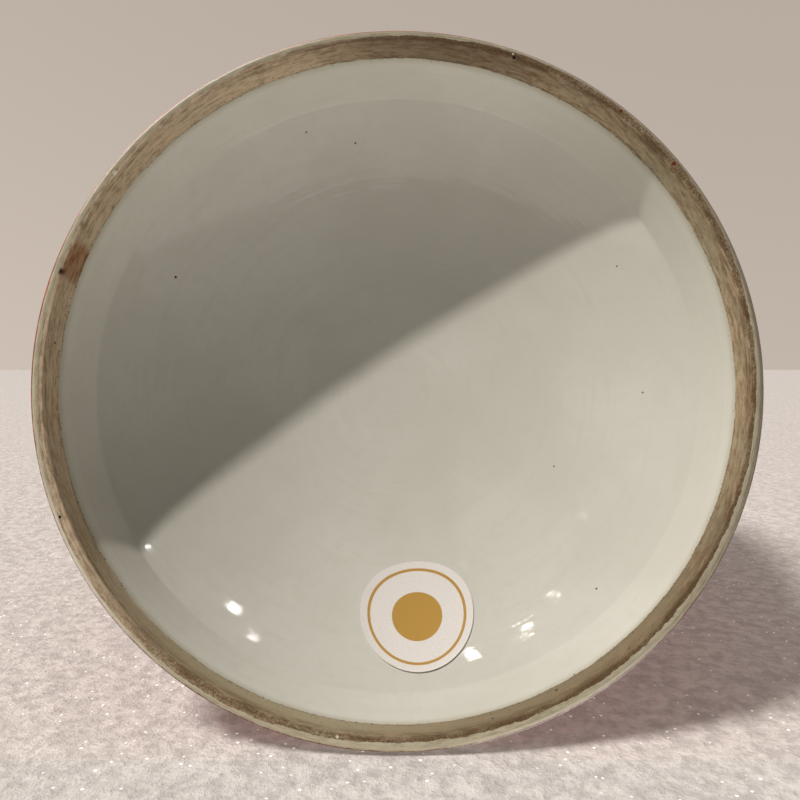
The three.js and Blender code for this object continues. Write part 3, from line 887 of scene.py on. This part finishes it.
# Room: a pale surround, which gives its light from above the floor only. The camera sees it a
# little brighter towards the photograph's lower left.
ROOM_LEVEL = 0.42
BACKDROP_COLOUR = seen(190, 177, 166)
BRIGHT_SIDE = PHOTO_DOWN * 0.96 - PHOTO_RIGHT * 0.28
SHADE_DARK, SHADE_BRIGHT = 0.93, 1.38
world = bpy.data.worlds.new("room")
bpy.context.scene.world = world
world.use_nodes = True
tree = world.node_tree
background = tree.nodes["Background"]
path = add(tree, "ShaderNodeLightPath").outputs
way = add(tree, "ShaderNodeTexCoord").outputs["Generated"]
above = step_between(tree, add(tree, "ShaderNodeSeparateXYZ", way).outputs["Z"], -0.01, 0.0)
towards_bright = vectors(tree, "DOT_PRODUCT", way, tuple(BRIGHT_SIDE))["Value"]
shade = step_between(tree, towards_bright, -0.7, 0.5, SHADE_DARK, SHADE_BRIGHT)
mirrored = maths(tree, "MAXIMUM", path["Is Glossy Ray"], path["Is Transmission Ray"])
shows = maths(tree, "MAXIMUM", path["Is Camera Ray"], times(tree, mirrored, above))
level = between_two(tree, shows, times(tree, above, ROOM_LEVEL), shade)
background.inputs["Color"].default_value = BACKDROP_COLOUR
tree.links.new(level, background.inputs["Strength"])

# Softboxes: three large lamps round the standing vase. They and all other lamps but the lying
# sheet's own leave that sheet dark. Each has its azimuth, elevation, size and power.
SOFTBOXES = {"front_softbox": (15, 38, 700, 12), "back_softbox": (191, 30, 800, 8.5),
             "side_softbox": (110, 25, 500, 4)}
SOFTBOX_DISTANCE = 1300
SOFTBOX_COLOUR = (1, 0.97, 0.93)
SOFTBOX_MIDDLE = 120
SOFTBOX_AIM = (0, 0, 130)
all_but_sheet = bpy.data.collections.new("all_but_the_lying_sheet")
all_but_sheet.objects.link(lying_sheet)
all_but_sheet.collection_objects[0].light_linking.link_state = "EXCLUDE"
for name, (azimuth, elevation, size, power) in SOFTBOXES.items():
    # Azimuths are counted as in the views: 0 looks from -Y, and 90 from +X
    a, e = math.radians(azimuth), math.radians(elevation)
    way = Vector((math.sin(a) * math.cos(e), -math.cos(a) * math.cos(e), math.sin(e)))
    place = Vector((0, 0, SOFTBOX_MIDDLE)) + way * SOFTBOX_DISTANCE
    data = bpy.data.lights.new(name, "AREA")
    data.shape, data.size, data.energy, data.color = "SQUARE", size * MM, power, SOFTBOX_COLOUR
    softbox = bpy.data.objects.new(name, data)
    softbox.location = place * MM
    softbox.rotation_euler = (Vector(SOFTBOX_AIM) - place).to_track_quat("-Z", "Y").to_euler()
    softbox.visible_camera = False
    softbox.light_linking.receiver_collection = all_but_sheet
    bpy.context.scene.collection.objects.link(softbox)

# Key light on the underside: a hard lamp from the picture's upper left, which casts the ring's
# shadow across the base. A wider one from the same side lights the lying sheet.
KEY_TURN = 34.0
KEY_RISE = 29.0
KEY_POWER = 2.75
KEY_ANGLE = 2.0
SHEET_KEY_POWER = 7.0
SHEET_KEY_ANGLE = 14.0
SUN_COLOUR = (1, 0.965, 0.93)


def in_picture(right, down, up):
    """Vector from its parts to the right, down the picture and up the vase's axis."""
    return PHOTO_RIGHT * right + PHOTO_DOWN * down + np.array([0, 0, up])


def sun(name, way, power, spread):
    """Sun whose light comes from a direction, its disc spread over an angle."""
    data = bpy.data.lights.new(name, "SUN")
    data.energy, data.angle, data.color = power, math.radians(spread), SUN_COLOUR
    sun_object = bpy.data.objects.new(name, data)
    sun_object.rotation_euler = Vector(-np.array(way)).to_track_quat("-Z", "Y").to_euler()
    sun_object.light_linking.receiver_collection = all_but_sheet
    bpy.context.scene.collection.objects.link(sun_object)
    return sun_object


t, e = math.radians(KEY_TURN), math.radians(KEY_RISE)
key_way = in_picture(-math.sin(t) * math.cos(e), -math.cos(t) * math.cos(e), -math.sin(e))
underside_key = sun("underside_key", key_way, KEY_POWER, KEY_ANGLE)
underside_key.visible_glossy = False
sheet_key = sun("sheet_key", key_way, SHEET_KEY_POWER, SHEET_KEY_ANGLE)
lit = bpy.data.collections.new("lying_sheet_only")
lit.objects.link(lying_sheet)
casting = bpy.data.collections.new("vase_only")
for part in (foot_ring, vaulted_base, lower_wall, upper_wall, neck_wall):
    casting.objects.link(part)
sheet_key.light_linking.receiver_collection = lit
sheet_key.light_linking.blocker_collection = casting

# Glow of the bright sheet in front of the foot, as cards that send its light up to the base.
# Each card runs between two lines across the picture, given by how far down the picture and up
# the axis they are, and has a width and a level.
GLOW_COLOUR = (1, 0.95, 0.89)
CARDS = {"sheet_at_the_foot": ((100, -5), (106, -45), 600, 2.0),
         "sheet_in_front": ((106, -45), (112, -90), 600, 0.4),
         "sheet_further_out": ((112, -90), (90, -250), 700, 0.76),
         "sheet_far_out": ((90, -250), (50, -550), 900, 0.15)}


def glowing_sheet(name, near, far, width, level):
    """Bright card between two lines, facing the axis. Its power is pi times its level times its
    area, so the level is the brightness that it has."""
    length = math.dist(near, far)
    data = bpy.data.lights.new(name, "AREA")
    data.shape, data.size, data.size_y = "RECTANGLE", width * MM, length * MM
    data.energy, data.color = level * math.pi * width * length * MM**2, GLOW_COLOUR
    card = bpy.data.objects.new(name, data)
    card.visible_camera = False
    card.light_linking.receiver_collection = all_but_sheet
    bpy.context.scene.collection.objects.link(card)
    start, end = in_picture(0, *near), in_picture(0, *far)
    way = (start - end) / length
    axes = np.column_stack([-PHOTO_RIGHT, way, np.cross(-PHOTO_RIGHT, way)])
    card_turn = Matrix(axes.tolist()).to_4x4()
    card_turn.translation = Vector((start + end) / 2 * MM)
    card.matrix_world = card_turn


for name, card in CARDS.items():
    glowing_sheet(name, *card)

# Camera: the photograph's view, square to nothing, looking up into the foot.
CAMERA_RIGHT = 0.44
CAMERA_DOWN = 24.8
CAMERA_BELOW = 125.5
CAMERA_TILT = 8.7
CAMERA_LENS = 36
CAMERA_CLIP = (0.005, 50)
camera_data = bpy.data.cameras.new("photo_camera")
camera_data.sensor_width = camera_data.lens = CAMERA_LENS
camera_data.clip_start, camera_data.clip_end = CAMERA_CLIP
camera_object = bpy.data.objects.new("photo_camera", camera_data)
bpy.context.scene.collection.objects.link(camera_object)
tilt = math.radians(CAMERA_TILT)
look = -PHOTO_DOWN * math.sin(tilt) + np.array([0, 0, math.cos(tilt)])
down = PHOTO_DOWN * math.cos(tilt) + np.array([0, 0, math.sin(tilt)])
place = PHOTO_RIGHT * CAMERA_RIGHT + PHOTO_DOWN * CAMERA_DOWN - np.array([0, 0, CAMERA_BELOW])
matrix = Matrix(np.column_stack([PHOTO_RIGHT, -down, -look]).tolist()).to_4x4()
matrix.translation = Vector(place * MM)
camera_object.matrix_world = matrix
bpy.context.scene.camera = camera_object
bpy.context.scene.view_settings.view_transform = "Standard"

# Ceiling lamps: the small far lamps that the glaze of the base mirrors as glints. Each glint has
# a place across and down the picture, in pixels of its 800, and a lamp of some degrees across.
PICTURE_SIZE = 800
GLINTS = [(530, 628, 1.5), (550, 597, 1.2), (470, 654, 0.8), (556, 672, 0.9), (462, 563, 0.4),
          (585, 513, 0.4), (235, 606, 1.4), (254, 635, 0.8), (154, 547, 0.9)]
GLINT_RADIANCE = 90.0
glaze_faces = BVHTree.FromPolygons([corner.co for corner in vaulted_base.data.vertices],
                                   [face.vertices for face in vaulted_base.data.polygons])
for across, below, spread in GLINTS:
    sight = look + PHOTO_RIGHT * (across / PICTURE_SIZE - 0.5) + down * (below / PICTURE_SIZE - 0.5)
    sight /= np.linalg.norm(sight)
    normal = np.array(glaze_faces.ray_cast(Vector(place * MM), Vector(sight))[1])
    power = GLINT_RADIANCE * math.pi * math.sin(math.radians(spread) / 2) ** 2
    sun("ceiling_lamp", sight - 2 * sight.dot(normal) * normal, power, spread).visible_diffuse = False
